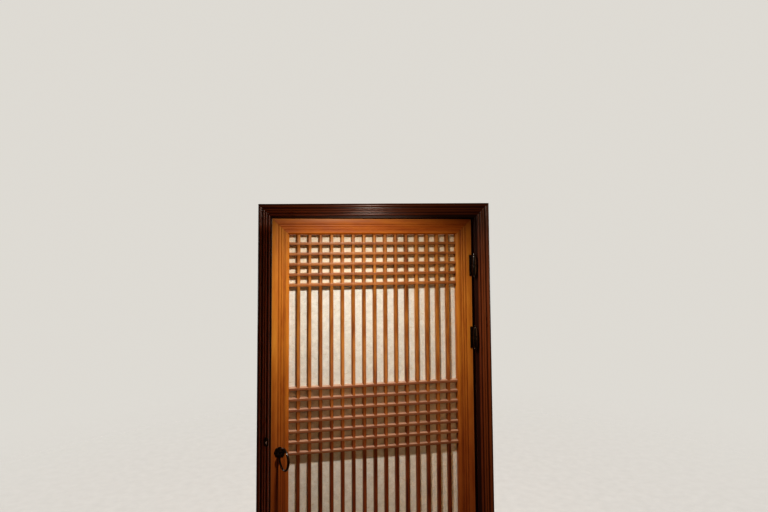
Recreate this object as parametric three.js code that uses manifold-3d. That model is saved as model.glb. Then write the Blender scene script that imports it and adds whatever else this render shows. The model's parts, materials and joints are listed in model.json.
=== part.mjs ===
// A hanok lattice door: a papered pine leaf hung on three iron pintle hinges in a dark reeded frame,
// standing ajar, with a ring pull on its latch stile. Millimetres, +X right, +Y into the wall, +Z up.
// The origin is the middle of the frame's underside.
import * as THREE from 'three';
import { mergeVertices } from 'three/addons/utils/BufferGeometryUtils.js';
import Module from 'manifold-3d';

const wasm = await Module();
wasm.setup();

// Lattice: every bar is wide where the paper is glued on and narrower in front
const BAR_BACK = 15;
const BAR_FRONT = 10.5;
const BAR_DEPTH = 20;
const UPRIGHT_COUNT = 15;
const UPRIGHT_PITCH = 45;
const CROSS_PITCH = 42;
const END_BAND_BARS = 5;
const MIDDLE_BAND_BARS = 7;
const END_CELL = 30;
const OPEN_STRETCH = 400;

// Leaf
const STILE_WIDTH = 70;
const RAIL_WIDTH = 66;
const LEAF_THICKNESS = 34;
const LATTICE_SETBACK = 5;
const PAPER_THICKNESS = 1.2;
const OPENING_WIDTH = (UPRIGHT_COUNT + 1) * UPRIGHT_PITCH - BAR_BACK;
const END_BAND = (END_BAND_BARS - 1) * CROSS_PITCH + BAR_BACK;
const MIDDLE_BAND = (MIDDLE_BAND_BARS - 1) * CROSS_PITCH + BAR_BACK;
const OPENING_HEIGHT = 2 * (END_CELL + END_BAND + OPEN_STRETCH) + MIDDLE_BAND;
const LEAF_WIDTH = OPENING_WIDTH + 2 * STILE_WIDTH;
const LEAF_HEIGHT = OPENING_HEIGHT + 2 * RAIL_WIDTH;

// Moulding of a stile, measured inward from the leaf's edge; a rail's is narrowed to its width
const ARRIS_SOFT = 3;
const ARRIS_CORNER = 0.9;
const OUTER_BAND_TO = 24;
const GROOVE_DEPTH = 2.2;
const BEADS = [[27, 36.5], [37.5, 47]];
const BEAD_STEPS = 4;
const SUNK_BAND = [49, 53.5];
const SUNK_DEPTH = 0.8;
const INNER_BAND = [55, 62];
const SLOPE_TO = 69;
const SMALL_BEVEL = 1;

// Frame
const FRAME_FACE = 64;
const FRAME_DEPTH = 110;
const LATCH_GAP = 8;
const HINGE_GAP = 13;
const END_GAP = 6;
const STOP_PROUD = 22;
const STOP_DEPTH = 18;
const STOP_CLEARANCE = 5;
const FRAME_INNER_WIDTH = LATCH_GAP + LEAF_WIDTH + HINGE_GAP;
const FRAME_INNER_HEIGHT = LEAF_HEIGHT + 2 * END_GAP;
const FRAME_WIDTH = FRAME_INNER_WIDTH + 2 * FRAME_FACE;
const FRAME_HEIGHT = FRAME_INNER_HEIGHT + 2 * FRAME_FACE;
const FRAME_FRONT = -FRAME_DEPTH / 2;

// Moulding of the frame, measured inward from its outer edge: one wide reed, a twin reed, a narrow one, a fillet
const REED_FLOOR = 6;
const WIDE_REED = [2.5, 16.5];
const TWIN_REEDS = [[20, 29], [29.5, 38.5]];
const TWIN_REED_VALLEY = 3.5;
const NARROW_REED = [41.5, 51.5];
const NARROW_REED_CREST = 1;
const REED_STEPS = 6;
const FILLET_DEPTH = 8;
const FILLET_BEVEL = 1.5;
const GROOVE_EASE = 0.5;

// Hinges: the frame carries the lower half with its pin, the leaf the upper half with its socket
const HINGE_HEIGHT = 102;
const HINGE_BELOW_TOP = [199, 504, LEAF_HEIGHT - 199];
const HINGE_NAMES = ['top', 'middle', 'bottom'];
const BARREL_RADIUS = 11;
// Half a barrel as [radius, height above its tip]: button, neck, collar and swelling body
const BARREL_OUTLINE = [[0, 0], [3.2, 1], [4.4, 4], [3, 7], [7, 9], [8.6, 15], [10, 27], [BARREL_RADIUS, 42]];
const PIN_RADIUS = 4;
const PIN_CLEARANCE = 0.5;
const PIN_LENGTH = 32;
const PIN_TIP_TAPER = 2;
const SOCKET_END_CLEARANCE = 1;
const SHOULDER_CLEARANCE = 0.3;
const PIN_TO_LEAF_EDGE = HINGE_GAP / 2;
const PIN_TO_LEAF_FACE = 11;
const LEAF_RECESS = 5;
const HINGE_PLATE = 2.5;
const HINGE_PLATE_HEIGHT = 90;
const JAMB_PLATE = [12.5, 34.5];
const JAMB_TONGUE_FROM = 6;
const LEAF_PLATE = [-18.5, -9.5];
const LEAF_TONGUE_TO = -3;
const TONGUE_LAP = 1;
const TONGUE_SHORTER = 4;
const TONGUE_FROM_MIDDLE = 2;
const LATHE_STEPS = 16;

// Ring pull
const ROSE_RADIUS = 22;
const ROSE_LOBES = 8;
const ROSE_LOBE_DEPTH = 2.5;
const ROSE_LOBE_POINTS = 6;
const ROSE_THICKNESS = 3;
const ROSE_HOLE_STEPS = 12;
const RING_PULL_BELOW_TOP = 926;
const RING_RADIUS = 41;
const RING_ROD_RADIUS = 3.5;
const RING_STEPS = 40;
const EYE_RADIUS = 6.6;
const EYE_ROD_RADIUS = 2.5;
const EYE_REACH = 18;
const EYE_STEPS = 20;
const EYE_WELD = 1;
const ROD_SIDES = 8;
const SHANK_RADIUS = 3;
const SHANK_BORE_RADIUS = 3.4;
const WASHER_RADIUS = 11;
const WASHER_THICKNESS = 2.4;
const CLINCH_RADIUS = 5.5;
const CLINCH_THICKNESS = 2.6;
const CLINCH_BEVEL = 1.5;

// Keeper on the latch jamb, at the height of the ring's eye
const KEEPER_WIDTH = 18;
const KEEPER_HEIGHT = 38;
const KEEPER_THICKNESS = 2.5;
const KEEPER_FROM_OUTER_EDGE = 42;
const KEEPER_END_STEPS = 8;

// Pose in which the door stands
const LEAF_OPEN_DEGREES = 9;
const RING_TURN_DEGREES = 66;
const RING_LIFT_DEGREES = 75;

// Space left between neighbouring pieces that don't share an exact flat face
const FIT_GAP = 0.3;
const PLATE_SEAT_GAP = 0.2;

const PAINTED_WOOD = new THREE.MeshStandardMaterial({ color: 0x2a120b, roughness: 0.35, metalness: 0 });
const VARNISHED_PINE = new THREE.MeshStandardMaterial({ color: 0x9a5220, roughness: 0.4, metalness: 0 });
const MULBERRY_PAPER = new THREE.MeshStandardMaterial({ color: 0xdccfb4, roughness: 0.9, metalness: 0 });
const BLACK_IRON = new THREE.MeshStandardMaterial({ color: 0x1d1b1a, roughness: 0.5, metalness: 0.9 });

function radians(degrees) {
  return THREE.MathUtils.degToRad(degrees);
}

function named(name, geometry, material) {
  const mesh = new THREE.Mesh(geometry, material);
  mesh.name = name;
  return mesh;
}

// Joining and cutting
function solidOf(geometry) {
  const bare = geometry.clone();
  bare.deleteAttribute('normal');
  bare.deleteAttribute('uv');
  const merged = mergeVertices(bare);
  return new wasm.Manifold(new wasm.Mesh({
    numProp: 3,
    vertProperties: new Float32Array(merged.attributes.position.array),
    triVerts: new Uint32Array(merged.index.array),
  }));
}

function geometryOf(solid) {
  const mesh = solid.getMesh();
  const geometry = new THREE.BufferGeometry();
  geometry.setAttribute('position', new THREE.BufferAttribute(new Float32Array(mesh.vertProperties), 3));
  geometry.setIndex(new THREE.BufferAttribute(new Uint32Array(mesh.triVerts), 1));
  geometry.computeVertexNormals();
  return geometry;
}

function joined(geometries) {
  const solids = geometries.map(solidOf);
  return geometryOf(solids.reduce((whole, piece) => whole.add(piece)));
}

function cut(geometry, tool) {
  return geometryOf(solidOf(geometry).subtract(solidOf(tool)));
}

function block(low, high) {
  const size = high.map((value, axis) => value - low[axis]);
  const middle = high.map((value, axis) => (value + low[axis]) / 2);
  return new THREE.BoxGeometry(...size).translate(...middle);
}

// A round piece turned about the Z axis, from a profile of [radius, height] points
function turned(profile) {
  const points = profile.map(([radius, height]) => new THREE.Vector2(radius, height));
  return new THREE.LatheGeometry(points, LATHE_STEPS).rotateX(Math.PI / 2);
}

// Points over a half-round reed or bead from one side of its foot to the other
function reed([from, to], foot, crest, steps) {
  const points = [];
  for (let step = 0; step <= steps; step += 1) {
    const angle = Math.PI * step / steps;
    const across = (from + to) / 2 - (to - from) / 2 * Math.cos(angle);
    points.push([across, foot - (foot - crest) * Math.sin(angle)]);
  }
  return points;
}

function reededFace() {
  return [
    [0, REED_FLOOR],
    ...reed(WIDE_REED, REED_FLOOR, 0, REED_STEPS),
    [TWIN_REEDS[0][0] - GROOVE_EASE, REED_FLOOR],
    ...TWIN_REEDS.flatMap((span) => reed(span, TWIN_REED_VALLEY, 0, REED_STEPS)),
    [TWIN_REEDS[1][1] + GROOVE_EASE, REED_FLOOR],
    ...reed(NARROW_REED, REED_FLOOR, NARROW_REED_CREST, REED_STEPS),
    [NARROW_REED[1] + GROOVE_EASE, FILLET_DEPTH],
    [FRAME_FACE - FILLET_BEVEL, FILLET_DEPTH],
    [FRAME_FACE, FILLET_DEPTH + FILLET_BEVEL],
  ];
}

// The back of the frame repeats the reeds of its front
function frameProfile() {
  const front = reededFace();
  const back = front.map(([across, depth]) => [across, FRAME_DEPTH - depth]).reverse();
  return [...front, ...back];
}

// Outer band, groove, two beads, sunk band, inner band, slope down to the lattice, plain back
function leafProfile(width) {
  const scale = width / STILE_WIDTH;
  const points = [
    [0, ARRIS_SOFT], [ARRIS_CORNER, ARRIS_CORNER], [ARRIS_SOFT, 0], [OUTER_BAND_TO, 0],
    [OUTER_BAND_TO + SMALL_BEVEL, GROOVE_DEPTH],
    ...BEADS.flatMap((span) => reed(span, GROOVE_DEPTH, 0, BEAD_STEPS)),
    [SUNK_BAND[0] - GROOVE_EASE, GROOVE_DEPTH], [SUNK_BAND[0], SUNK_DEPTH], [SUNK_BAND[1], SUNK_DEPTH],
    [SUNK_BAND[1] + GROOVE_EASE, GROOVE_DEPTH], [INNER_BAND[0], 0], [INNER_BAND[1], 0],
    [SLOPE_TO, LATTICE_SETBACK], [STILE_WIDTH, LATTICE_SETBACK + SMALL_BEVEL],
    [STILE_WIDTH, LEAF_THICKNESS - SMALL_BEVEL], [STILE_WIDTH - SMALL_BEVEL, LEAF_THICKNESS],
    [SMALL_BEVEL, LEAF_THICKNESS], [0, LEAF_THICKNESS - SMALL_BEVEL],
  ];
  return points.map(([across, depth]) => [across * scale, depth]);
}

// A straight member with mitred ends: both ends draw in by slope for each millimetre from the outer edge
function mitredMember(profile, length, slope) {
  const shape = new THREE.Shape(profile.map(([across, depth]) => new THREE.Vector2(across, depth)));
  const geometry = new THREE.ExtrudeGeometry(shape, { depth: length, bevelEnabled: false });
  const position = geometry.attributes.position;
  const setback = FIT_GAP / 2 * Math.hypot(1, slope);
  for (let index = 0; index < position.count; index += 1) {
    const drawnIn = position.getX(index) * slope + setback;
    const along = position.getZ(index);
    position.setZ(index, along < length / 2 ? along + drawnIn : along - drawnIn);
  }
  geometry.computeVertexNormals();
  return geometry;
}

// The four members of a mitred rectangle whose outer corner is the group's origin
function mitredRectangle(names, geometries, width, height, material) {
  const group = new THREE.Group();
  const [left, right, top, bottom] = names.map((name, index) => named(name, geometries[index], material));
  right.position.set(width, 0, height);
  right.rotation.y = Math.PI;
  top.position.set(0, 0, height);
  top.rotation.y = Math.PI / 2;
  bottom.position.set(width, 0, 0);
  bottom.rotation.y = -Math.PI / 2;
  group.add(left, right, top, bottom);
  return group;
}

function frameMembers() {
  const profile = frameProfile();
  const upright = mitredMember(profile, FRAME_HEIGHT, 1);
  const level = mitredMember(profile, FRAME_WIDTH, 1);
  const names = ['latch_jamb', 'hinge_jamb', 'head', 'sill'];
  const group = mitredRectangle(names, [upright, upright, level, level], FRAME_WIDTH, FRAME_HEIGHT, PAINTED_WOOD);
  group.position.set(-FRAME_WIDTH / 2, FRAME_FRONT, 0);
  return group;
}

// Strips nailed round the opening, which the closed leaf stands in front of
function doorStops() {
  const group = new THREE.Group();
  const half = FRAME_INNER_WIDTH / 2;
  const front = FRAME_FRONT + LEAF_RECESS + LEAF_THICKNESS + STOP_CLEARANCE;
  const back = front + STOP_DEPTH;
  const low = FRAME_FACE;
  const high = FRAME_HEIGHT - FRAME_FACE;
  const inside = half - STOP_PROUD;
  group.add(
    named('latch_stop', block([-half, front, low], [-inside, back, high]), PAINTED_WOOD),
    named('hinge_stop', block([inside, front, low], [half, back, high]), PAINTED_WOOD),
    named('head_stop', block([-inside, front, high - STOP_PROUD], [inside, back, high]), PAINTED_WOOD),
    named('sill_stop', block([-inside, front, low], [inside, back, low + STOP_PROUD]), PAINTED_WOOD),
  );
  return group;
}

function leafMembers() {
  const stile = mitredMember(leafProfile(STILE_WIDTH), LEAF_HEIGHT, RAIL_WIDTH / STILE_WIDTH);
  const rail = mitredMember(leafProfile(RAIL_WIDTH), LEAF_WIDTH, STILE_WIDTH / RAIL_WIDTH);
  const bore = new THREE.CylinderGeometry(SHANK_BORE_RADIUS, SHANK_BORE_RADIUS, 3 * LEAF_THICKNESS, LATHE_STEPS);
  bore.translate(STILE_WIDTH / 2, 0, ringPullHeight);
  const latchStile = cut(stile, bore);
  const names = ['latch_stile', 'hinge_stile', 'top_rail', 'bottom_rail'];
  return mitredRectangle(names, [latchStile, stile, rail, rail], LEAF_WIDTH, LEAF_HEIGHT, VARNISHED_PINE);
}

// One lattice bar along Z, with its paper side at y = BAR_DEPTH
function latticeBar(length) {
  const shape = new THREE.Shape([
    new THREE.Vector2(-BAR_FRONT / 2, 0),
    new THREE.Vector2(BAR_FRONT / 2, 0),
    new THREE.Vector2(BAR_BACK / 2, BAR_DEPTH),
    new THREE.Vector2(-BAR_BACK / 2, BAR_DEPTH),
  ]);
  return new THREE.ExtrudeGeometry(shape, { depth: length, bevelEnabled: false });
}

// Heights of the cross bars' middles above the leaf's underside
function crossBarHeights() {
  const firstOfEndBand = RAIL_WIDTH + END_CELL + BAR_BACK / 2;
  const firstOfMiddleBand = RAIL_WIDTH + END_CELL + END_BAND + OPEN_STRETCH + BAR_BACK / 2;
  const heights = [];
  for (let bar = 0; bar < END_BAND_BARS; bar += 1) {
    heights.push(firstOfEndBand + bar * CROSS_PITCH);
    heights.push(LEAF_HEIGHT - firstOfEndBand - bar * CROSS_PITCH);
  }
  for (let bar = 0; bar < MIDDLE_BAND_BARS; bar += 1) {
    heights.push(firstOfMiddleBand + bar * CROSS_PITCH);
  }
  return heights;
}

function lattice() {
  const uprightLength = OPENING_HEIGHT - 2 * FIT_GAP;
  const crossLength = OPENING_WIDTH - 2 * FIT_GAP;
  const bars = [];
  for (let bar = 1; bar <= UPRIGHT_COUNT; bar += 1) {
    const across = STILE_WIDTH + bar * UPRIGHT_PITCH - BAR_BACK / 2;
    bars.push(latticeBar(uprightLength).translate(across, LATTICE_SETBACK, RAIL_WIDTH + FIT_GAP));
  }
  for (const height of crossBarHeights()) {
    const bar = latticeBar(crossLength).rotateY(Math.PI / 2);
    bars.push(bar.translate(STILE_WIDTH + FIT_GAP, LATTICE_SETBACK, height));
  }
  return named('lattice', joined(bars), VARNISHED_PINE);
}

function paper() {
  const front = LATTICE_SETBACK + BAR_DEPTH + FIT_GAP;
  const low = [STILE_WIDTH + FIT_GAP, front, RAIL_WIDTH + FIT_GAP];
  const high = [LEAF_WIDTH - STILE_WIDTH - FIT_GAP, front + PAPER_THICKNESS, LEAF_HEIGHT - RAIL_WIDTH - FIT_GAP];
  return named('paper', block(low, high), MULBERRY_PAPER);
}

// Half of a hinge barrel, from its lower tip up, as [radius, height] below the hinge's middle
function barrelOutline() {
  return BARREL_OUTLINE.map(([radius, height]) => [radius, height - HINGE_HEIGHT / 2]);
}

// Lower half: barrel, pin and the plate let into the opening's side. Its origin is the pin's axis at mid height
function pintle() {
  const shoulder = -SHOULDER_CLEARANCE;
  const profile = [
    ...barrelOutline(), [BARREL_RADIUS, shoulder], [PIN_RADIUS, shoulder],
    [PIN_RADIUS, PIN_LENGTH - PIN_TIP_TAPER], [PIN_RADIUS - PIN_TIP_TAPER / 2, PIN_LENGTH], [0, PIN_LENGTH],
  ];
  const outside = HINGE_GAP / 2 - PLATE_SEAT_GAP;
  const inside = outside - HINGE_PLATE;
  const half = HINGE_PLATE_HEIGHT / 2;
  const tongueTo = JAMB_PLATE[0] + TONGUE_LAP;
  return joined([
    turned(profile),
    block([inside, JAMB_PLATE[0], -half], [outside, JAMB_PLATE[1], half]),
    block([inside, JAMB_TONGUE_FROM, -half + TONGUE_SHORTER], [outside, tongueTo, -TONGUE_FROM_MIDDLE]),
  ]);
}

// Upper half: barrel bored for the pin, and the plate that laps over the leaf's face
function socket() {
  const boreRadius = PIN_RADIUS + PIN_CLEARANCE;
  const boreTop = PIN_LENGTH + SOCKET_END_CLEARANCE;
  const outline = barrelOutline().map(([radius, height]) => [radius, -height]).reverse();
  const profile = [[0, boreTop], [boreRadius, boreTop], [boreRadius, 0], [BARREL_RADIUS, 0], ...outline];
  const half = HINGE_PLATE_HEIGHT / 2;
  const back = PIN_TO_LEAF_FACE - FIT_GAP;
  const front = back - HINGE_PLATE;
  const tongueFrom = LEAF_PLATE[1] - TONGUE_LAP;
  return joined([
    turned(profile),
    block([LEAF_PLATE[0], front, -half], [LEAF_PLATE[1], back, half]),
    block([tongueFrom, front, TONGUE_FROM_MIDDLE], [LEAF_TONGUE_TO, back, half - TONGUE_SHORTER]),
  ]);
}

// Flower-shaped plate under the staple, with a hole for its shank
function rosePlate() {
  const outline = [];
  const steps = ROSE_LOBES * ROSE_LOBE_POINTS;
  for (let step = 0; step < steps; step += 1) {
    const angle = 2 * Math.PI * step / steps;
    const radius = ROSE_RADIUS - ROSE_LOBE_DEPTH * (1 - Math.abs(Math.cos(ROSE_LOBES * angle / 2)));
    outline.push(new THREE.Vector2(radius * Math.cos(angle), radius * Math.sin(angle)));
  }
  const shape = new THREE.Shape(outline);
  const hole = new THREE.Path();
  hole.absarc(0, 0, SHANK_BORE_RADIUS, 0, 2 * Math.PI, true);
  shape.holes.push(hole);
  const plate = new THREE.ExtrudeGeometry(shape, {
    depth: ROSE_THICKNESS, bevelEnabled: false, curveSegments: ROSE_HOLE_STEPS,
  });
  return plate.rotateX(Math.PI / 2).translate(0, -FIT_GAP, 0);
}

// Staple: an eye lying level in front of the stile, and a shank through the wood, clinched behind
function staple() {
  const clinchFront = LEAF_THICKNESS + WASHER_THICKNESS + 2 * FIT_GAP;
  const clinchBack = clinchFront + CLINCH_THICKNESS;
  const shankFront = EYE_REACH - EYE_RADIUS + EYE_WELD;
  const shank = turned([
    [0, -shankFront], [SHANK_RADIUS, -shankFront], [SHANK_RADIUS, clinchFront],
    [CLINCH_RADIUS, clinchFront], [CLINCH_RADIUS - CLINCH_BEVEL, clinchBack], [0, clinchBack],
  ]).rotateX(-Math.PI / 2);
  const eye = new THREE.TorusGeometry(EYE_RADIUS, EYE_ROD_RADIUS, ROD_SIDES, EYE_STEPS);
  return joined([shank, eye.translate(0, -EYE_REACH, 0)]);
}

function washer() {
  const front = LEAF_THICKNESS + FIT_GAP;
  const back = front + WASHER_THICKNESS;
  return turned([
    [SHANK_BORE_RADIUS, front], [WASHER_RADIUS, front], [WASHER_RADIUS - SMALL_BEVEL, back],
    [SHANK_BORE_RADIUS, back], [SHANK_BORE_RADIUS, front],
  ]).rotateX(-Math.PI / 2);
}

// The ring hangs from the eye's middle, which is its origin, and leans out against the eye's friction
function ringPull() {
  const lift = radians(RING_LIFT_DEGREES);
  const ring = new THREE.TorusGeometry(RING_RADIUS, RING_ROD_RADIUS, ROD_SIDES, RING_STEPS).rotateX(Math.PI / 2);
  return ring.translate(RING_RADIUS * Math.sin(lift), 0, -RING_RADIUS * Math.cos(lift));
}

// Oblong plate on the jamb's reeds with an upright eye, which the ring hooks over when the leaf is shut
function latchKeeper() {
  const end = KEEPER_WIDTH / 2;
  const endMiddle = KEEPER_HEIGHT / 2 - end;
  const outline = new THREE.Shape();
  outline.absarc(0, endMiddle, end, 0, Math.PI, false);
  outline.absarc(0, -endMiddle, end, Math.PI, 2 * Math.PI, false);
  const plate = new THREE.ExtrudeGeometry(outline, {
    depth: KEEPER_THICKNESS, bevelEnabled: false, curveSegments: KEEPER_END_STEPS,
  });
  const eye = new THREE.TorusGeometry(EYE_RADIUS, EYE_ROD_RADIUS, ROD_SIDES, EYE_STEPS).rotateY(Math.PI / 2);
  const eyeReach = KEEPER_THICKNESS + EYE_RADIUS + EYE_ROD_RADIUS - EYE_WELD;
  return joined([plate.rotateX(Math.PI / 2), eye.translate(0, -eyeReach, 0)]);
}

const pinX = FRAME_INNER_WIDTH / 2 - HINGE_GAP / 2;
const pinY = FRAME_FRONT + LEAF_RECESS - PIN_TO_LEAF_FACE;
const leafBottom = FRAME_FACE + END_GAP;
const ringPullHeight = LEAF_HEIGHT - RING_PULL_BELOW_TOP;

const door = new THREE.Group();
door.add(frameMembers(), doorStops());

const leaf = new THREE.Group();
leaf.position.set(pinX, pinY, 0);
leaf.rotation.z = radians(LEAF_OPEN_DEGREES);
door.add(leaf);

const leafFace = new THREE.Group();
leafFace.position.set(-PIN_TO_LEAF_EDGE - LEAF_WIDTH, PIN_TO_LEAF_FACE, leafBottom);
leafFace.add(leafMembers(), lattice(), paper());
leaf.add(leafFace);

const pintleGeometry = pintle();
const socketGeometry = socket();
HINGE_NAMES.forEach((name, index) => {
  const height = leafBottom + LEAF_HEIGHT - HINGE_BELOW_TOP[index];
  const pintleMesh = named(`${name}_hinge_pintle`, pintleGeometry, BLACK_IRON);
  pintleMesh.position.set(pinX, pinY, height);
  door.add(pintleMesh);
  const socketMesh = named(`${name}_hinge_socket`, socketGeometry, BLACK_IRON);
  socketMesh.position.set(0, 0, height);
  leaf.add(socketMesh);
});

const keeperMesh = named('latch_keeper', latchKeeper(), BLACK_IRON);
keeperMesh.position.set(
  KEEPER_FROM_OUTER_EDGE - FRAME_WIDTH / 2, FRAME_FRONT - FIT_GAP, leafBottom + ringPullHeight,
);
door.add(keeperMesh);

const pull = new THREE.Group();
pull.position.set(STILE_WIDTH / 2, 0, ringPullHeight);
pull.add(
  named('rose_plate', rosePlate(), BLACK_IRON),
  named('staple', staple(), BLACK_IRON),
  named('staple_washer', washer(), BLACK_IRON),
);
const ringMesh = named('ring', ringPull(), BLACK_IRON);
ringMesh.position.set(0, -EYE_REACH, 0);
ringMesh.rotation.z = -radians(RING_TURN_DEGREES);
pull.add(ringMesh);
leafFace.add(pull);

export default door;
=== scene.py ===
"""Looks of a papered pine lattice door, ajar in its dark reeded frame, with its camera, floor and lights.

Lengths are in millimetres and turned to metres where a mesh or a place is made, except in the studio, which
is in metres. A moulded member is made along its own Z: X runs across it from its outer edge, and Y from its
front to its back.
"""

import json
import math

import bmesh
import bpy
from mathutils import Matrix, Vector, noise


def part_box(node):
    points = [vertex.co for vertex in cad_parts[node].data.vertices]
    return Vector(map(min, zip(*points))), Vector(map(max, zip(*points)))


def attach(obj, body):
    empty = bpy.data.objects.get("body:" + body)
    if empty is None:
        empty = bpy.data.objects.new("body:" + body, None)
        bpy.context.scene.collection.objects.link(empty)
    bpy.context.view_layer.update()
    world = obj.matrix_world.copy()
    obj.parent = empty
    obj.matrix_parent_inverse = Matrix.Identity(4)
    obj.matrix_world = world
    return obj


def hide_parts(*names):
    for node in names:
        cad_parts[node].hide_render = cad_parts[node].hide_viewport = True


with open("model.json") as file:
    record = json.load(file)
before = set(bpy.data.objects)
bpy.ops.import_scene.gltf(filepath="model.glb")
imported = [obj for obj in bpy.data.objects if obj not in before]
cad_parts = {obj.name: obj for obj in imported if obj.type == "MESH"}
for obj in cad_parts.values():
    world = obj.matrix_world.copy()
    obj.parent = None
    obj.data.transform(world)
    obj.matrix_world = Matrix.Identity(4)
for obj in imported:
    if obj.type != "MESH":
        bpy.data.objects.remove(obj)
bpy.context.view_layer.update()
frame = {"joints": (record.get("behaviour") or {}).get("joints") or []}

MM = 0.001
SHARP_FROM_DEGREES = 35
WELD_DISTANCE = 0.002

# Lattice
BAR_BACK = 15
BAR_FRONT = 12.5
BAR_DEPTH = 20
BAR_CHAMFER = 1.7
BAR_CHAMFER_DEPTH = 3
BAR_EDGE = 0.6
CROSS_BAR_PROUD = 0.12
UPRIGHT_COUNT = 15
UPRIGHT_PITCH = 45
CROSS_PITCH = 42
END_BAND_BARS = 5
MIDDLE_BAND_BARS = 7
END_CELL = 30
OPEN_STRETCH = 400

# Leaf
STILE_WIDTH = 70
RAIL_WIDTH = 66
LEAF_THICKNESS = 34
LATTICE_SETBACK = 5
OPENING_WIDTH = (UPRIGHT_COUNT + 1) * UPRIGHT_PITCH - BAR_BACK
END_BAND = (END_BAND_BARS - 1) * CROSS_PITCH + BAR_BACK
MIDDLE_BAND = (MIDDLE_BAND_BARS - 1) * CROSS_PITCH + BAR_BACK
OPENING_HEIGHT = 2 * (END_CELL + END_BAND + OPEN_STRETCH) + MIDDLE_BAND
LEAF_WIDTH = OPENING_WIDTH + 2 * STILE_WIDTH
LEAF_HEIGHT = OPENING_HEIGHT + 2 * RAIL_WIDTH
LEAF_TO_HEAD = 6
FIT_GAP = 0.3
LATTICE_WIDTH = OPENING_WIDTH - 2 * FIT_GAP
LATTICE_HEIGHT = OPENING_HEIGHT - 2 * FIT_GAP

# Hand work leaves hollows of a depth, spaced along X, Y and Z. Each seed finds them elsewhere
PLANED_FRAME = (0.35, (14, 14, 120))
PLANED_LEAF = (0.25, (18, 18, 90))
HAMMERED_BARREL = (0.3, (6, 6, 9))
HAMMERED_ROSE = (0.12, (5, 5, 5))
HAMMERED_WASHER = (0.15, (5, 5, 5))
SEED_STEP = Vector((3.7, 5.3, 7.9))
FIRST_LEAF_SEED = 10

# Middles of the bars, from the leaf's latch edge and from its lower edge
UPRIGHTS = [STILE_WIDTH + bar * UPRIGHT_PITCH - BAR_BACK / 2 for bar in range(1, UPRIGHT_COUNT + 1)]
FIRST_CROSS_BAR = RAIL_WIDTH + END_CELL + BAR_BACK / 2
FIRST_OF_MIDDLE_BAND = RAIL_WIDTH + END_CELL + END_BAND + OPEN_STRETCH + BAR_BACK / 2
LOWER_CROSS_BARS = [FIRST_CROSS_BAR + bar * CROSS_PITCH for bar in range(END_BAND_BARS)]
UPPER_CROSS_BARS = [LEAF_HEIGHT - height for height in LOWER_CROSS_BARS]
MIDDLE_CROSS_BARS = [FIRST_OF_MIDDLE_BAND + bar * CROSS_PITCH for bar in range(MIDDLE_BAND_BARS)]
CROSS_BARS = LOWER_CROSS_BARS + UPPER_CROSS_BARS + MIDDLE_CROSS_BARS

# Moulding of the leaf, measured inward from its edge
ARRIS = 3
ARRIS_CORNER = 0.9
OUTER_BAND_TO = 24
GROOVE_DEPTH = 2.2
BEADS = ((27, 36.5), (37.5, 47))
BEAD_STEPS = 10
SUNK_BAND = (49, 53.5)
SUNK_DEPTH = 0.8
GROOVE_EASE = 0.5
INNER_BAND = (55, 62)
SLOPE_TO = 69
SMALL_BEVEL = 1
LEAF_SOFTNESS = 0.5

# Moulding of the frame, measured inward from its outer edge
REED_FLOOR = 6
WIDE_REED = (2.5, 16.5)
TWIN_REEDS = ((20, 29), (29.5, 38.5))
TWIN_REED_VALLEY = 3.5
NARROW_REED = (41.5, 51.5)
NARROW_REED_CREST = 1
REED_STEPS = 12
FILLET_DEPTH = 8
FILLET_BEVEL = 1.5
FRAME_SOFTNESS = 0.7

# Members are made in short lengths, and each starts at its own place in the grain
MEMBER_STEP = 12
GRAIN_STARTS = (0, 2600, 1700, 7400)

# Paper
PAPER_STEP = 7.5
PAPER_THICKNESS = 0.3
PAPER_SLACK = 0.9
PAPER_WAVE = (55, 80)
PAPER_OFF_BARS = 0.05
PAPER_COLUMNS = round(LATTICE_WIDTH / PAPER_STEP)
PAPER_ROWS = round(LATTICE_HEIGHT / PAPER_STEP)

# Hinges
HINGE_NAMES = ("top", "middle", "bottom")
HINGE_HEIGHT = 102
BARREL_RADIUS = 11
BARREL_BEVEL_ACROSS = 0.5
BARREL_BEVEL_ALONG = 1
# Radius and height from the lower tip up
BARREL_OUTLINE = ((0, 0), (3.2, 1), (4.4, 4), (3, 7), (7, 9), (8.6, 15), (10, 27), (11, 42))
PIN_RADIUS = 4
PIN_CLEARANCE = 0.5
PIN_LENGTH = 32
PIN_TIP_TAPER = 2
SOCKET_BORE = 33
SHOULDER_CLEARANCE = 0.3
HINGE_GAP = 13
PIN_TO_LEAF_EDGE = HINGE_GAP / 2
PIN_TO_LEAF_FACE = 11
HINGE_PLATE = 2.5
HINGE_PLATE_HALF = 45
JAMB_PLATE = (12.5, 34.5)
JAMB_TONGUE_FROM = 6
LEAF_PLATE = (-18.5, -9.5)
LEAF_TONGUE_TO = -3
TONGUE_LAP = 1
TONGUE_SHORTER = 4
TONGUE_FROM_MIDDLE = 2
PLATE_EDGE = 0.6
PLATE_SEAT_GAP = 0.2
PLATE_NAILS = (-32, 0, 32)
NAIL_RADIUS = 2.6
NAIL_HEIGHT = 1.1
# Shares of the nail's radius and height, from its middle out
NAIL_CROWN = ((0, 1), (0.45, 0.95), (0.85, 0.6))
NAIL_RIM = 0.1
NAIL_SUNK = 0.6
NAIL_SIDES = 10
TURNED_SIDES = 32

# Ring pull and keeper
ROSE_RADIUS = 22
ROSE_LOBES = 8
ROSE_LOBE_DEPTH = 2.5
ROSE_LOBE_POINTS = 12
ROSE_THICKNESS = 3
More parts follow.
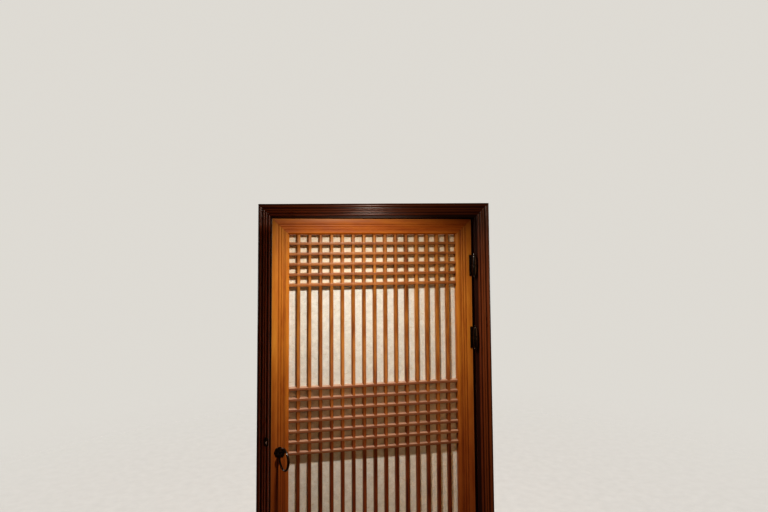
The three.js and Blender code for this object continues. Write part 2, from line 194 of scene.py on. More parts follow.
# Reach from hole to rim, share of the thickness, and depth of the grooves between the petals
ROSE_SECTIONS = (
    (0, 1, 0), (0.08, 1, 0.1), (0.2, 0.72, 0.2), (0.3, 0.68, 0.5), (0.5, 0.95, 1.1), (0.7, 0.98, 1.4),
    (0.86, 0.75, 1.0), (0.95, 0.5, 0.4), (1, 0.3, 0), (1, 0, 0), (0, 0, 0),
)
RING_PULL_BELOW_TOP = 926
RING_RADIUS = 41
RING_ROD_RADIUS = 3.5
RING_THICKER = 1.6
RING_UNEVEN = 0.12
RING_STEPS = 96
RING_TURN = 66
RING_LIFT = 75
EYE_RADIUS = 6.6
EYE_ROD_RADIUS = 2.5
EYE_REACH = 18
EYE_UNEVEN = 0.08
EYE_STEPS = 48
EYE_WELD = 1
HAMMER_LUMP = 9
ROD_SIDES = 16
SHANK_RADIUS = 3
SHANK_BORE_RADIUS = 3.4
WASHER_RADIUS = 11
WASHER_THICKNESS = 2.4
WASHER_RIM = 0.9
# Share of the washer's radius, and how far short of its thickness
WASHER_CROWN = ((0.9, 0.4), (0.6, 0))
WASHER_DIP = 0.2
CLINCH_RADIUS = 5.5
CLINCH_THICKNESS = 2.6
CLINCH_RIM = 0.8
CLINCH_ROUNDING = 0.3
END_SHARE = 0.8
SHANK_ROUNDING = 1
KEEPER_WIDTH = 18
KEEPER_HEIGHT = 38
KEEPER_THICKNESS = 2.5
KEEPER_BACK_EDGE = 0.5
KEEPER_FRONT_EDGE = 0.9
KEEPER_END_STEPS = 12
KEEPER_NAILS = (-13, 13)

# Stops
STOP_EDGE = 1.5
STOP_NAIL_SPACING = 240
STOP_NAIL_SUNK = 0.3

joints = {joint["name"]: joint for joint in frame["joints"]}
pin = Vector(joints["leaf_swing"]["pos_m"])
eye = Vector(joints["ring_swing"]["pos_m"])
leaf_turn = Matrix.Rotation(math.radians(-joints["leaf_swing"]["range_deg"][0]), 4, "Z")

latch_jamb_low, latch_jamb_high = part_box("latch_jamb")
hinge_jamb_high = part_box("hinge_jamb")[1]
head_low, head_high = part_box("head")
FRAME_FACE = (latch_jamb_high.x - latch_jamb_low.x) / MM
FRAME_DEPTH = (latch_jamb_high.y - latch_jamb_low.y) / MM
FRAME_WIDTH = (hinge_jamb_high.x - latch_jamb_low.x) / MM
FRAME_HEIGHT = head_high.z / MM

frame_place = Matrix.Translation(Vector((latch_jamb_low.x, latch_jamb_low.y, 0)))


def moved(x, y, z):
    """A move by millimetres."""
    return Matrix.Translation(Vector((x, y, z)) * MM)


def turned_about(axis, degrees):
    return Matrix.Rotation(math.radians(degrees), 4, axis)


leaf_place = (
    Matrix.Translation(Vector((pin.x, pin.y, head_low.z)))
    @ leaf_turn
    @ moved(-PIN_TO_LEAF_EDGE - LEAF_WIDTH, PIN_TO_LEAF_FACE, -LEAF_TO_HEAD - LEAF_HEIGHT)
)


# Outlines, in millimetres

def reed(span, foot, crest, steps):
    """Points over a half-round reed or bead, from one side of its foot to the other."""
    middle = (span[0] + span[1]) / 2
    half = (span[1] - span[0]) / 2
    angles = [math.pi * step / steps for step in range(steps + 1)]
    return [(middle - half * math.cos(a), foot - (foot - crest) * math.sin(a)) for a in angles]


def reeded_face():
    points = [(0, REED_FLOOR)]
    points += reed(WIDE_REED, REED_FLOOR, 0, REED_STEPS)
    points += [(TWIN_REEDS[0][0] - GROOVE_EASE, REED_FLOOR)]
    for span in TWIN_REEDS:
        points += reed(span, TWIN_REED_VALLEY, 0, REED_STEPS)
    points += [(TWIN_REEDS[1][1] + GROOVE_EASE, REED_FLOOR)]
    points += reed(NARROW_REED, REED_FLOOR, NARROW_REED_CREST, REED_STEPS)
    points += [(NARROW_REED[1] + GROOVE_EASE, FILLET_DEPTH)]
    points += [(FRAME_FACE - FILLET_BEVEL, FILLET_DEPTH), (FRAME_FACE, FILLET_DEPTH + FILLET_BEVEL)]
    return points


def frame_outline():
    """The back of the frame repeats the reeds of its front."""
    front = reeded_face()
    return front + [(across, FRAME_DEPTH - depth) for across, depth in reversed(front)]


def leaf_outline(width):
    points = [(0, ARRIS), (ARRIS_CORNER, ARRIS_CORNER), (ARRIS, 0), (OUTER_BAND_TO, 0)]
    points += [(OUTER_BAND_TO + SMALL_BEVEL, GROOVE_DEPTH)]
    for span in BEADS:
        points += reed(span, GROOVE_DEPTH, 0, BEAD_STEPS)
    points += [(SUNK_BAND[0] - GROOVE_EASE, GROOVE_DEPTH), (SUNK_BAND[0], SUNK_DEPTH)]
    points += [(SUNK_BAND[1], SUNK_DEPTH), (SUNK_BAND[1] + GROOVE_EASE, GROOVE_DEPTH)]
    points += [(INNER_BAND[0], 0), (INNER_BAND[1], 0)]
    points += [(SLOPE_TO, LATTICE_SETBACK), (STILE_WIDTH, LATTICE_SETBACK + SMALL_BEVEL)]
    points += [(STILE_WIDTH, LEAF_THICKNESS - SMALL_BEVEL), (STILE_WIDTH - SMALL_BEVEL, LEAF_THICKNESS)]
    points += [(SMALL_BEVEL, LEAF_THICKNESS), (0, LEAF_THICKNESS - SMALL_BEVEL)]
    return [(across * width / STILE_WIDTH, depth) for across, depth in points]


def bar_outline(proud):
    """Section of a lattice bar: chamfered in front, and a little wider behind, where the paper is pasted."""
    flat = BAR_FRONT / 2 - BAR_CHAMFER
    shoulder = BAR_FRONT / 2 + (BAR_BACK - BAR_FRONT) / 2 * BAR_CHAMFER_DEPTH / BAR_DEPTH
    return [
        (-flat, -proud),
        (flat, -proud),
        (shoulder, BAR_CHAMFER_DEPTH),
        (BAR_BACK / 2, BAR_DEPTH),
        (-BAR_BACK / 2, BAR_DEPTH),
        (-shoulder, BAR_CHAMFER_DEPTH),
    ]


def softened(outline, radius):
    """The closed outline with its corners rounded."""
    steps, turn_from, reach_share = 3, 25, 0.4
    rounded = []
    for index, corner in enumerate(outline):
        here = Vector(corner)
        arriving = here - Vector(outline[index - 1])
        leaving = Vector(outline[(index + 1) % len(outline)]) - here
        if math.degrees(arriving.angle(leaving)) < turn_from:
            rounded.append(here)
            continue
        reach = min(radius, reach_share * arriving.length, reach_share * leaving.length)
        first = here - arriving.normalized() * reach
        last = here + leaving.normalized() * reach
        for step in range(steps + 1):
            share = step / steps
            rounded.append(first.lerp(here, share).lerp(here.lerp(last, share), share))
    return [tuple(point) for point in rounded]


def flowing(outline):
    """A smooth curve through the outline's points."""
    steps = 4
    points = [Vector(point) for point in outline]
    points = [2 * points[0] - points[1]] + points + [2 * points[-1] - points[-2]]
    curve = []
    for index in range(1, len(points) - 2):
        before, start, end, after = points[index - 1:index + 3]
        for step in range(steps):
            t = step / steps
            bend = 2 * before - 5 * start + 4 * end - after
            twist = 3 * start - before - 3 * end + after
            curve.append(start + ((end - before) * t + bend * t * t + twist * t ** 3) / 2)
    curve.append(points[-2])
    return [(max(0, point.x), point.y) for point in curve]


# Meshes

def mesh_of(name, points, faces):
    """A closed mesh in metres from points in millimetres, smooth except over its sharp edges."""
    mesh = bpy.data.meshes.new(name)
    mesh.from_pydata([Vector(point) * MM for point in points], [], faces)
    work = bmesh.new()
    work.from_mesh(mesh)
    bmesh.ops.remove_doubles(work, verts=work.verts, dist=WELD_DISTANCE * MM)
    bmesh.ops.recalc_face_normals(work, faces=work.faces)
    return finished(work, mesh)


def finished(work, mesh):
    """Writes the worked mesh back, smooth except over its sharp edges."""
    work.to_mesh(mesh)
    work.free()
    smooth(mesh)
    return mesh


def smooth(mesh):
    mesh.shade_smooth()
    mesh.set_sharp_from_angle(angle=math.radians(SHARP_FROM_DEGREES))


def skin(rings, ends="capped"):
    """Faces over rings of points that have the same length: ends are capped, open at a pole, or joined."""
    size = len(rings[0])
    points = [point for ring in rings for point in ring]
    spans = len(rings) if ends == "joined" else len(rings) - 1
    faces = []
    for span in range(spans):
        here = span * size
        there = (span + 1) % len(rings) * size
        for step in range(size):
            after = (step + 1) % size
            faces.append((here + step, here + after, there + after, there + step))
    if ends == "capped":
        faces.append(tuple(reversed(range(size))))
        faces.append(tuple(range(len(points) - size, len(points))))
    return points, faces


def mitred_member(name, outline, length, slope, grain_start):
    """A straight moulding along Z whose ends draw in by slope for each millimetre from the outer edge.

    Its origin lies grain_start further along than its corner, so that each member shows its own grain.
    """
    setback = FIT_GAP / 2 * math.hypot(1, slope)
    stations = round(length / MEMBER_STEP)
    rings = []
    for station in range(stations + 1):
        share = station / stations
        ring = []
        for across, depth in outline:
            drawn_in = across * slope + setback
            along = drawn_in + (length - 2 * drawn_in) * share
            ring.append((across, depth, along + grain_start))
        rings.append(ring)
    return mesh_of(name, *skin(rings))


def turned(name, profile, sides=TURNED_SIDES, closed=False):
    """A round piece about the Z axis from (radius, height) points."""
    rings = []
    for radius, height in profile:
        ring = []
        for side in range(sides):
            angle = 2 * math.pi * side / sides
            ring.append((radius * math.cos(angle), radius * math.sin(angle), height))
        rings.append(ring)
    return mesh_of(name, *skin(rings, "joined" if closed else "open"))


def bent_rod(name, radius, rod_radius, steps, uneven, seed, thicker=0.0, thickest_at=0.0):
    """A rod bent to a ring about the Z axis, a little thinner here and there as the hammer left it.

    Its radius grows by up to thicker at the angle thickest_at; the ring's outer side stays where it is.
    """
    rings = []
    for step in range(steps):
        angle = 2 * math.pi * step / steps
        outward = Vector((math.cos(angle), math.sin(angle), 0))
        growth = thicker * (1 + math.cos(angle - thickest_at)) / 2
        middle = outward * (radius - growth)
        ring = []
        for side in range(ROD_SIDES):
            turn = 2 * math.pi * side / ROD_SIDES
            away = outward * math.cos(turn) + Vector((0, 0, math.sin(turn)))
            spot = (middle + away * rod_radius) / HAMMER_LUMP + Vector((seed, 0, 0))
            lump = 0.5 + 0.5 * noise.noise(spot)
            ring.append(middle + away * (rod_radius + growth) * (1 - uneven * lump))
        rings.append(ring)
    return mesh_of(name, *skin(rings, "joined"))


def slab(name, low, high, edge):
    """A block with rounded edges."""
    size = [top - bottom for bottom, top in zip(low, high)]
    middle = [(top + bottom) / 2 for bottom, top in zip(low, high)]
    work = bmesh.new()
    bmesh.ops.create_cube(work, size=1)
    bmesh.ops.scale(work, vec=Vector(size) * MM, verts=work.verts)
    bmesh.ops.translate(work, vec=Vector(middle) * MM, verts=work.verts)
    bmesh.ops.bevel(
        work, geom=work.edges, offset=edge * MM, segments=3, profile=0.5, affect="EDGES", clamp_overlap=True
    )
    return finished(work, bpy.data.meshes.new(name))


def placed(mesh, place):
    mesh.transform(place)
    return mesh


def together(name, meshes):
    """One mesh from several that don't touch."""
    work = bmesh.new()
    for mesh in meshes:
        work.from_mesh(mesh)
    return finished(work, bpy.data.meshes.new(name))


def forged_together(name, meshes):
    """One closed mesh from several that run into each other."""
    pieces = [bpy.data.objects.new("part_of_" + name, mesh) for mesh in meshes]
    for piece in pieces:
        bpy.context.scene.collection.objects.link(piece)
    base = pieces[0]
    for piece in pieces[1:]:
        modifier = base.modifiers.new("join", "BOOLEAN")
        modifier.operation = "UNION"
        modifier.solver = "MANIFOLD"
        modifier.object = piece
    bpy.context.view_layer.update()
    evaluated = base.evaluated_get(bpy.context.evaluated_depsgraph_get())
    whole = bpy.data.meshes.new_from_object(evaluated)
    whole.name = name
    if not any(whole.materials):
        whole.materials.clear()
    for piece in pieces:
        bpy.data.objects.remove(piece)
    smooth(whole)
    return whole


def hand_worked(mesh, depth, spacing, seed):
    """Sinks hollows up to depth into the surface, about spacing apart along X, Y and Z. Nothing rises."""
    sunk = []
    for vertex in mesh.vertices:
        spot = Vector([value / (step * MM) for value, step in zip(vertex.co, spacing)])
        hollow = 0.5 + 0.5 * noise.noise(spot + SEED_STEP * seed)
        sunk.append(vertex.co - vertex.normal * depth * MM * hollow)
    for vertex, point in zip(mesh.vertices, sunk):
        vertex.co = point
    mesh.update()
    return mesh


def put(mesh, place, body, materials, slot_name, *stands_for):
    """Shows the mesh as a piece at its place, riding on its body, in place of the nodes it stands for."""
    piece = bpy.data.objects.new(mesh.name, mesh)
    bpy.context.scene.collection.objects.link(piece)
    piece.matrix_world = place
    for material in materials:
        mesh.materials.append(material)
    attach(piece, body)
    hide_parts(*stands_for)


# Materials

# Spacing of each pattern, in millimetres along X, Y and Z
GROWTH_RINGS = (6, 9, 420)
PINE_CLOUDS = (28, 40, 130)
PINE_FLECKS = (3, 3, 26)
BRUSH_STROKES = (1.6, 1.6, 260)
PAINT_CLOUDS = (22, 22, 90)
PAINT_FLAKES = (7, 7, 16)
SHEET_CLOUDS = (22, 22, 22)
PALE_FIBRES = (9, 9, 30)
TAN_FIBRES = (26, 26, 10)
HAMMER_MARKS = (7, 7, 7)
FORGE_SCALE = (2.2, 2.2, 2.2)
FLOOR_MOTTLE = (60, 60, 60)

STILE_TONES = ((0.3, "#A65818"), (0.5, "#C87A20"), (0.7, "#DA9230"))
RAIL_TONES = ((0.3, "#A44C0C"), (0.5, "#C86C12"), (0.7, "#DC8420"))
UPRIGHT_TONES = ((0.38, "#70360F"), (0.5, "#9B591C"), (0.64, "#C17E32"))
CROSS_TONES = ((0.34, "#6E3412"), (0.5, "#965620"), (0.68, "#B87636"))
PAINT_TONES = ((0.35, "#5E2A14"), (0.65, "#783A1C"))
SHEET_TONES = ((0.35, "#D3D2CB"), (0.65, "#E2E2DB"))
IRON_TONES = ((0.35, "#322C29"), (0.55, "#4C4641"), (0.72, "#7C756E"))
FLOOR_TONES = ((0.3, "#D9D6D0"), (0.7, "#DFDCD6"))

# Shares of pooled varnish with painted shade, then of wear with painted highlights, from the leaf's edge
POOLED_VARNISH_AND_SHADE = (
    (0, 0), (23.6, 0), (25, 0.35), (27, 0.25), (29, 0.1), (35, 0.08), (37, 0.3), (39, 0.1),
    (45, 0.1), (47.6, 0.35), (49.5, 0.2), (53, 0.2), (54.3, 0.3), (55.4, 0),
)
WEAR_AND_HIGHLIGHTS = (
    (0, 0.4), (3, 0.4), (5, 0.05), (22, 0.05), (24, 0.15), (24.6, 0), (54.6, 0), (55.4, 0.1),
    (61, 0), (64, 0), (69, 0),
)

# Where a change of the surface is none and where it is full, in millimetres from an end of the leaf
REDDER_FROM_BOTTOM = (1200, 500)
REDDER_FROM_TOP = (400, 1100)

# The same, from the leaf's middle height
SHEEN_ON_MIDDLE_BARS = (MIDDLE_BAND / 2 + 60, MIDDLE_BAND / 2)
SHEET_SHADE_MIDDLE = (MIDDLE_BAND / 2 + 2, MIDDLE_BAND / 2 - 6)
TO_END_BANDS = OPENING_HEIGHT / 2 - END_CELL - END_BAND
SHEET_SHADE_ENDS = (TO_END_BANDS, TO_END_BANDS + 6)

# The same, from an upright's middle, and then from the frame's nearer face or its outer edge
PASTE_FROM_BAR = (12, 7)
CREST_DEPTH = (2.2, 0.2)
GROOVE_SHADE_DEPTH = (3, 6)
FILLET_ACROSS = (NARROW_REED[1], NARROW_REED[1] + FILLET_BEVEL)
FILLET_SHADOW_DEPTH = (FILLET_DEPTH + 6, FILLET_DEPTH + 2)

# What each pattern adds to the clouds in the tone of the pine, and bars differ a little from each other
STREAKS_WEIGHT = 0.7
FLECKS_WEIGHT = 0.3
BAR_WEIGHT = 0.09

# The grain of two bars is taken up to this many metres apart
BAR_TO_BAR = 20

# Settings that nodes share: a smooth rise, a mix of colours, and the range that clouds mostly lie in
SMOOTH = {"interpolation_type": "SMOOTHSTEP"}
COLOURS = {"data_type": "RGBA"}
CLOUD_RANGE = {"From Min": 0.3, "From Max": 0.7}


def colour(code):
    """Linear colour from an sRGB hex code."""
    straight_below, straight_slope, offset, power = 0.04045, 12.92, 0.055, 2.4
    linear = []
    for start in (1, 3, 5):
        value = int(code[start:start + 2], 16) / 255
        if value <= straight_below:
            linear.append(value / straight_slope)
        else:
            linear.append(((value + offset) / (1 + offset)) ** power)
    return (*linear, 1.0)


def socket(sockets, key):
    """A socket by its number, or the first one in use that has that name."""
    if isinstance(key, int):
        return sockets[key]
    return next(found for found in sockets if found.enabled and found.name == key)


def set_stops(ramp, stops):
    """Stops are pairs of a position and a hex colour or a grey level."""
    while len(ramp.elements) < len(stops):
        ramp.elements.new(1)
    for element, (position, shade) in zip(ramp.elements, stops):
        element.position = position
        element.color = colour(shade) if isinstance(shade, str) else (shade, shade, shade, 1)


def add_node(tree, kind, settings=None, links=None):
    """Adds a node. Its settings are properties, values of inputs, or a ramp's stops.

    Links feed its inputs, each from an output or from the first one in use of a node.
    """
    node = tree.nodes.new("ShaderNode" + kind)
    for name, value in (settings or {}).items():
        if name == "stops":
            set_stops(node.color_ramp, value)
        elif isinstance(name, str) and hasattr(node, name):
            setattr(node, name, value)
        else:
            socket(node.inputs, name).default_value = value
    for name, source in (links or {}).items():
        if isinstance(source, bpy.types.Node):
            source = next(output for output in source.outputs if output.enabled)
        tree.links.new(source, socket(node.inputs, name))
    return node


def new_tree(name):
    material = bpy.data.materials.new(name)
    material.use_nodes = True
    material.node_tree.nodes.clear()
    return material, material.node_tree


def over_distance(limits):
    """Settings of a smooth rise from the first distance to the second, both in millimetres."""
    none_at, full_at = limits
    return {**SMOOTH, "From Min": none_at * MM, "From Max": full_at * MM}


def spots(tree, place, spacing, settings):
    """A cloudy pattern whose spots lie about spacing millimetres apart along X, Y and Z."""
    step = [distance * MM for distance in spacing]
    scaled = add_node(tree, "VectorMath", {"operation": "DIVIDE", 1: step}, {0: place})
    return add_node(tree, "TexNoise", {"Scale": 1, **settings}, {"Vector": scaled})


def from_middle_height(tree, height):
    """Distance above or below the middle of the leaf."""
    above = add_node(tree, "Math", {"operation": "SUBTRACT", 1: LEAF_HEIGHT / 2 * MM}, {0: height})
    return add_node(tree, "Math", {"operation": "ABSOLUTE"}, {0: above})


def grain_place(tree, along, bar_pitch):
    """Object coordinates, the same apart, and each bar's own number from 0 to 1.

    For bars the first has Z along the grain and is moved on from bar to bar, so no two bars look alike.
    """
    place = add_node(tree, "TexCoord").outputs["Object"]
    parts = add_node(tree, "SeparateXYZ", links={0: place})
    if bar_pitch is None:
        return place, parts, None
    across = parts.outputs["X" if along == "Z" else "Z"]
    counted = add_node(tree, "Math", {"operation": "DIVIDE", 1: bar_pitch * MM}, {0: across})
    whole = add_node(tree, "Math", {"operation": "FLOOR"}, {0: counted})
    number = add_node(tree, "TexWhiteNoise", {"noise_dimensions": "1D"}, {"W": whole}).outputs["Value"]
    start = add_node(
        tree, "Math", {"operation": "MULTIPLY_ADD", 1: BAR_TO_BAR}, {0: number, 2: parts.outputs[along]}
    )
    place = add_node(tree, "CombineXYZ", links={"X": across, "Y": parts.outputs["Y"], "Z": start})
    return place, parts, number


def across_moulding(tree, wood, from_edge):
    """Grooves dark red: pooled varnish and painted shade. Arrises pale: wear and painted highlights."""
    across = add_node(tree, "Math", {"operation": "DIVIDE", 1: STILE_WIDTH * MM}, {0: from_edge})
    # Dark red: pooled varnish and painted shade in grooves. Pale: wear and painted highlights on arrises.
    for shares, shade in ((POOLED_VARNISH_AND_SHADE, "#6A2712"), (WEAR_AND_HIGHLIGHTS, "#E8A850")):
        stops = [(distance / STILE_WIDTH, share) for distance, share in shares]
        amount = add_node(tree, "ValToRGB", {"stops": stops}, {"Fac": across})
        wood = add_node(tree, "Mix", {**COLOURS, "B": colour(shade)}, {"Factor": amount, "A": wood})
    return wood


def redder_low_down(tree, wood, height, moulded, tint):
    """The wood is darker and redder towards the leaf's bottom.

    The hinge stile is a latch stile turned over, so it is measured down from its top, where its grain starts.
    The bottom rail's grain starts past both, so it is dark all along, and the top rail's lies between them.
    """
    low = add_node(tree, "MapRange", over_distance(REDDER_FROM_BOTTOM), {"Value": height})
    if moulded:
        turned_over = [GRAIN_STARTS[1] + distance for distance in REDDER_FROM_TOP]
        turned_low = add_node(tree, "MapRange", over_distance(turned_over), {"Value": height})
        low = add_node(tree, "Math", {"operation": "MAXIMUM"}, {0: low, 1: turned_low})
    settings = {**COLOURS, "blend_type": "MULTIPLY", "B": colour(tint)}
    return add_node(tree, "Mix", settings, {"Factor": low, "A": wood})


def middle_band_sheen(tree, wood, height):
    """The middle band's bars get a painted sheen, paler and pinker, and a painted highlight on top."""
    from_middle = from_middle_height(tree, height)
    in_middle_band = add_node(tree, "MapRange", over_distance(SHEEN_ON_MIDDLE_BARS), {"Value": from_middle})
    # Painted sheen: a paler, pinker tone over the cross bars of the middle band
    sheened = add_node(tree, "Mix", {**COLOURS, "Factor": 0.6, "B": colour("#8E5A44")}, {"A": wood})
    wood = add_node(tree, "Mix", COLOURS, {"Factor": in_middle_band, "A": wood, "B": sheened})
    facing = add_node(tree, "SeparateXYZ", links={0: add_node(tree, "TexCoord").outputs["Normal"]})
    upward = {**SMOOTH, "From Min": 0.3, "From Max": 0.8}
    # Painted highlight: paler still on the upper sides of those bars
    upper_highlight = add_node(tree, "MapRange", upward, {"Value": facing.outputs["Z"]})
    upper_highlight = add_node(tree, "Math", {"operation": "MULTIPLY"}, {0: upper_highlight, 1: in_middle_band})
    upper_highlight = add_node(tree, "Math", {"operation": "MULTIPLY", 1: 0.5}, {0: upper_highlight})
    return add_node(tree, "Mix", {**COLOURS, "B": colour("#C8A890")}, {"Factor": upper_highlight, "A": wood})


def varnished_pine(
    name, tones, along="Z", bar_pitch=None, moulded=False, lower_tint="#D1B3CB", coat=0.05, coat_roughness=0.3
):
    """Pine, planed and brushed with orange varnish.

    The eye sees long honey streaks from light and dark growth rings, dark red in the grooves, where the
    varnish pools and shade is painted, pale on the arrises, where wear and highlights are painted, darker and
    redder towards the bottom on all but the cross bars, and a soft satin light along every edge. The middle
    band's cross bars get a painted sheen and a painted highlight on top. The real rings lie about 2 mm apart,
    which is too fine to show here, so they are drawn 6 mm apart.
    """
    material, tree = new_tree(name)
    place, parts, number = grain_place(tree, along, bar_pitch)
    streaks = spots(tree, place, GROWTH_RINGS, {"Detail": 4, "Roughness": 0.6, "Distortion": 0.35})
    clouds = spots(tree, place, PINE_CLOUDS, {"Detail": 3, "Roughness": 0.55})
    flecks = spots(tree, place, PINE_FLECKS, {"Detail": 2, "Roughness": 0.5})
    tone = add_node(tree, "Math", {"operation": "MULTIPLY_ADD", 1: STREAKS_WEIGHT}, {0: streaks, 2: clouds})
    tone = add_node(tree, "Math", {"operation": "MULTIPLY_ADD", 1: FLECKS_WEIGHT}, {0: flecks, 2: tone})
    whole_weight = 1 + STREAKS_WEIGHT + FLECKS_WEIGHT
    tone = add_node(tree, "Math", {"operation": "DIVIDE", 1: whole_weight}, {0: tone})
    if number is not None:
        tone = add_node(tree, "Math", {"operation": "MULTIPLY_ADD", 1: BAR_WEIGHT}, {0: number, 2: tone})
    wood = add_node(tree, "ValToRGB", {"stops": tones}, {"Fac": tone})
    if moulded:
        wood = across_moulding(tree, wood, parts.outputs["X"])
    if along == "Z":
        wood = redder_low_down(tree, wood, parts.outputs["Z"], moulded, lower_tint)
    else:
        wood = middle_band_sheen(tree, wood, parts.outputs["Z"])
    gloss = add_node(tree, "MapRange", {**CLOUD_RANGE, "To Min": 0.5, "To Max": 0.66}, {"Value": clouds})
    bump = add_node(tree, "Bump", {"Strength": 0.5, "Distance": 0.25 * MM}, {"Height": streaks})
    shader = add_node(
        tree, "BsdfPrincipled", {"IOR": 1.5, "Coat Weight": coat, "Coat Roughness": coat_roughness},
        {"Base Color": wood, "Roughness": gloss, "Normal": bump},
    )
    add_node(tree, "OutputMaterial", links={"Surface": shader})
    return material


def pine_for_stiles():
    return varnished_pine("varnished_pine_moulded", STILE_TONES, moulded=True)


def pine_for_rails():
    return varnished_pine("varnished_pine_rails", RAIL_TONES, moulded=True)


def pine_for_uprights():
    name = "varnished_pine_upright_bars"
    return varnished_pine(name, UPRIGHT_TONES, bar_pitch=UPRIGHT_PITCH, lower_tint="#CC9CAC")


def pine_for_cross_bars():
    name = "varnished_pine_cross_bars"
    return varnished_pine(name, CROSS_TONES, "X", bar_pitch=CROSS_PITCH, coat=1, coat_roughness=0.36)


def gloss_paint():
    """Old dark red-brown gloss paint, brushed on pine.

    The eye sees grooves darkened by painted shade, a nearly black painted shadow on the fillet beside the
    opening, thin reddish painted highlights along the crests of the reeds, where the paint is also worn
    thin, brush ripples along the length and a few chips on the crests down to the pale primer. The front and
    the back are painted alike.
    """
    material, tree = new_tree("brushed_gloss_paint_on_pine")
    place = add_node(tree, "TexCoord").outputs["Object"]
    parts = add_node(tree, "SeparateXYZ", links={0: place})
    there_and_back = {"operation": "PINGPONG", 1: FRAME_DEPTH * MM / 2}
    depth = add_node(tree, "Math", there_and_back, {0: parts.outputs["Y"]})
    strokes = spots(tree, place, BRUSH_STROKES, {"Detail": 2, "Roughness": 0.5})
    clouds = spots(tree, place, PAINT_CLOUDS, {"Detail": 4, "Roughness": 0.6})
    flaking = spots(tree, place, PAINT_FLAKES, {"Detail": 5, "Roughness": 0.7})
    crest = add_node(tree, "MapRange", over_distance(CREST_DEPTH), {"Value": depth})
    groove = add_node(tree, "MapRange", over_distance(GROOVE_SHADE_DEPTH), {"Value": depth})
    fillet = add_node(tree, "MapRange", over_distance(FILLET_ACROSS), {"Value": parts.outputs["X"]})
    near_face = add_node(tree, "MapRange", over_distance(FILLET_SHADOW_DEPTH), {"Value": depth})
    fillet = add_node(tree, "Math", {"operation": "MULTIPLY"}, {0: fillet, 1: near_face})
    flaked = add_node(tree, "MapRange", {**SMOOTH, "From Min": 0.735, "From Max": 0.76}, {"Value": flaking})
    flaked = add_node(tree, "Math", {"operation": "MULTIPLY"}, {0: flaked, 1: crest})
    paint = add_node(tree, "ValToRGB", {"stops": PAINT_TONES}, {"Fac": clouds})
    # Painted highlight on crests, painted shade in grooves, painted shadow on the fillet, then pale chips
    for share, shade in ((crest, "#82441F"), (groove, "#552410"), (fillet, "#2E120A"), (flaked, "#8C5A42")):
        paint = add_node(tree, "Mix", {**COLOURS, "B": colour(shade)}, {"Factor": share, "A": paint})
    gloss = add_node(tree, "MapRange", {**CLOUD_RANGE, "To Min": 0.26, "To Max": 0.4}, {"Value": clouds})
    relief = add_node(tree, "Math", {"operation": "MULTIPLY_ADD", 1: 0.2}, {0: strokes, 2: clouds})
    relief = add_node(tree, "Math", {"operation": "MULTIPLY_ADD", 1: -0.8}, {0: flaked, 2: relief})
    bump = add_node(tree, "Bump", {"Strength": 0.6, "Distance": 0.5 * MM}, {"Height": relief})
    shader = add_node(
        tree, "BsdfPrincipled", {"IOR": 1.5, "Coat Weight": 1, "Coat Roughness": 0.24},
        {"Base Color": paint, "Roughness": gloss, "Normal": bump},
    )
    add_node(tree, "OutputMaterial", links={"Surface": shader})
    return material


def fibres(tree, place, spacing):
    """1 along thin winding lines, 0 between them."""
    field = spots(tree, place, spacing, {"Detail": 2, "Roughness": 0.45, "Distortion": 0.8})
    off_middle = add_node(tree, "Math", {"operation": "SUBTRACT", 1: 0.5}, {0: field})
    distance = add_node(tree, "Math", {"operation": "ABSOLUTE"}, {0: off_middle})
    return add_node(tree, "MapRange", {**SMOOTH, "From Min": 0.014, "From Max": 0.002}, {"Value": distance})


def pasted(tree, sheet, across):
    """Paste has soaked in along the uprights."""
    first_bar = (STILE_WIDTH - BAR_BACK / 2) * MM
    from_bar = add_node(tree, "Math", {"operation": "SUBTRACT", 1: first_bar}, {0: across})
    from_bar = add_node(tree, "Math", {"operation": "PINGPONG", 1: UPRIGHT_PITCH * MM / 2}, {0: from_bar})
    paste = add_node(tree, "MapRange", over_distance(PASTE_FROM_BAR), {"Value": from_bar})
    paste = add_node(tree, "Math", {"operation": "MULTIPLY", 1: 0.4}, {0: paste})
    return add_node(tree, "Mix", {**COLOURS, "B": colour("#B59A6C")}, {"Factor": paste, "A": sheet})


def painted_band_shade(tree, sheet, height):
    """The front gets a painted shade: browner behind the middle band and yellower behind the end bands."""
    from_middle = from_middle_height(tree, height)
    facing = add_node(tree, "SeparateXYZ", links={0: add_node(tree, "TexCoord").outputs["Normal"]})
    forward = {**SMOOTH, "From Min": 0, "From Max": -0.5}
    front = add_node(tree, "MapRange", forward, {"Value": facing.outputs["Y"]})
    # Painted shade: browner behind the middle band, yellower behind the end bands, on the front only
    for limits, strength, shade in ((SHEET_SHADE_MIDDLE, 0.28, "#A08064"), (SHEET_SHADE_ENDS, 0.3, "#E0C088")):
        band_shade = add_node(tree, "MapRange", over_distance(limits), {"Value": from_middle})
        band_shade = add_node(tree, "Math", {"operation": "MULTIPLY"}, {0: band_shade, 1: front})
        band_shade = add_node(tree, "Math", {"operation": "MULTIPLY", 1: strength}, {0: band_shade})
        sheet = add_node(tree, "Mix", {**COLOURS, "B": colour(shade)}, {"Factor": band_shade, "A": sheet})
    return sheet


